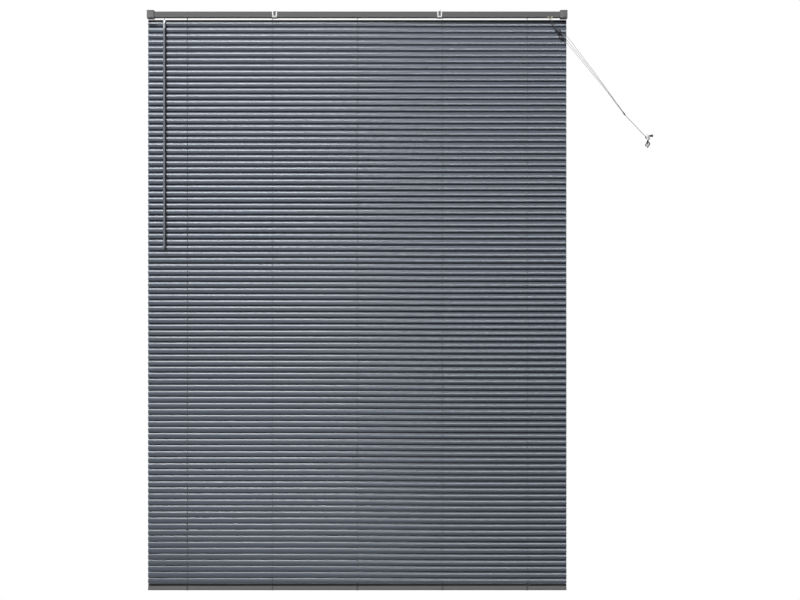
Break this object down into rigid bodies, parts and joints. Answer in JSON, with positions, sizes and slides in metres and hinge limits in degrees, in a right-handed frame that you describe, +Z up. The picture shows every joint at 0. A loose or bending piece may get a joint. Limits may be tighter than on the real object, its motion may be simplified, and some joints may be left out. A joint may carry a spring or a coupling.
{
  "type": "venetian blind",
  "caption": "Grey aluminium venetian blind, closed, with headrail in end brackets, tilting wand, cord lock, and pull cord wound on a wall cleat.",
  "frame": {"origin": "centre of the end brackets' ceiling screws, on the brackets' top plane", "axes": "+X right as seen from the room, +Y towards the wall, +Z up along the blind's height"},
  "size_m": [1.9291, 0.0339, 2.212],
  "materials": {
    "slat_paint": "satin lacquer",
    "rail_paint": "satin",
    "bracket_paint": "satin",
    "grey_plastic": "satin",
    "white_steel": "gloss lacquer",
    "zinc_steel": "satin",
    "nylon": "satin",
    "white_plastic": "satin",
    "wand_plastic": "gloss",
    "cord": "braided",
    "dark_plastic": "satin",
    "cleat_plastic": "satin"
  },
  "bodies": {
    "headrail": {"headrail": "rail_paint", "headrail_cap_left": "grey_plastic", "headrail_cap_right": "grey_plastic", "bracket_left": "bracket_paint", "bracket_right": "bracket_paint", "gate_pin_left": "zinc_steel", "gate_pin_right": "zinc_steel", "support_clip_left": "white_steel", "support_clip_right": "white_steel", "cradle_1": "nylon", "cradle_2": "nylon", "cradle_3": "nylon", "cradle_4": "nylon", "cradle_5": "nylon", "tilter_case": "nylon", "tilter_cover": "nylon", "cord_lock": "nylon", "slats": "slat_paint", "ladder_1": "cord", "ladder_2": "cord", "ladder_3": "cord", "ladder_4": "cord", "ladder_5": "cord", "bottom_rail": "rail_paint", "bottom_rail_cap_left": "grey_plastic", "bottom_rail_cap_right": "grey_plastic", "rail_clip_1": "grey_plastic", "rail_clip_2": "grey_plastic", "rail_clip_3": "grey_plastic", "rail_clip_4": "grey_plastic", "rail_clip_5": "grey_plastic", "lift_cord_1": "cord", "lift_cord_2": "cord", "lift_cord_3": "cord", "pull_strand_1": "cord", "pull_strand_2": "cord", "pull_strand_3": "cord", "cord_bell": "dark_plastic", "cord_joiner": "dark_plastic", "pull_tail": "cord", "cord_tassel": "dark_plastic", "wall_cleat": "cleat_plastic"},
    "tilt_shaft": {"tilt_rod": "zinc_steel", "drum_1": "nylon", "drum_2": "nylon", "drum_3": "nylon", "drum_4": "nylon", "drum_5": "nylon", "tilter_gear": "nylon"},
    "tilter_worm": {"tilter_worm": "white_plastic"},
    "wand_hanger": {"wand_hanger": "zinc_steel", "wand_hanger_pin": "zinc_steel"},
    "wand": {"wand_ferrule": "white_plastic", "wand_ferrule_pin": "zinc_steel", "wand_rod": "wand_plastic", "wand_tip": "wand_plastic"},
    "lock_guide_roller": {"lock_guide_roller": "zinc_steel"},
    "lock_pinch_roller": {"lock_pinch_roller": "zinc_steel"},
    "gate_left": {"gate_left": "bracket_paint"},
    "gate_right": {"gate_right": "bracket_paint"}
  },
  "joints": [
    {"name": "tilter_turn", "type": "hinge", "parent": "headrail", "child": "tilter_worm", "pos_m": [-0.734, -0.0078, -0.02], "axis": [0, 0, 1], "range_deg": [0, 1800]},
    {"name": "tilt_shaft_turn", "type": "hinge", "parent": "headrail", "child": "tilt_shaft", "pos_m": [0, 0.003, -0.016], "axis": [-1, 0, 0], "range_deg": [0, 150]},
    {"name": "wand_swing", "type": "hinge", "parent": "tilter_worm", "child": "wand_hanger", "pos_m": [-0.734, -0.0078, -0.036], "axis": [-1, 0, 0], "range_deg": [0, 70]},
    {"name": "wand_sway", "type": "hinge", "parent": "wand_hanger", "child": "wand", "pos_m": [-0.734, -0.0078, -0.0475], "axis": [0, 1, 0], "range_deg": [-60, 60]},
    {"name": "lock_pinch", "type": "slide", "parent": "headrail", "child": "lock_pinch_roller", "axis": [0, 0, 1], "range_m": [0, 0.003]},
    {"name": "lock_guide", "type": "hinge", "parent": "headrail", "child": "lock_guide_roller", "pos_m": [0.734, -0.0012, -0.0198], "axis": [1, 0, 0], "continuous": true},
    {"name": "gate_left_swing", "type": "hinge", "parent": "headrail", "child": "gate_left", "pos_m": [-0.7865, -0.014, -0.002], "axis": [-1, 0, 0], "range_deg": [0, 90]},
    {"name": "gate_right_swing", "type": "hinge", "parent": "headrail", "child": "gate_right", "pos_m": [0.7865, -0.014, -0.002], "axis": [-1, 0, 0], "range_deg": [0, 90]}
  ],
  "couplings": [
    {"joint": "tilt_shaft_turn", "follows": "tilter_turn", "ratio": 0.083333}
  ]
}
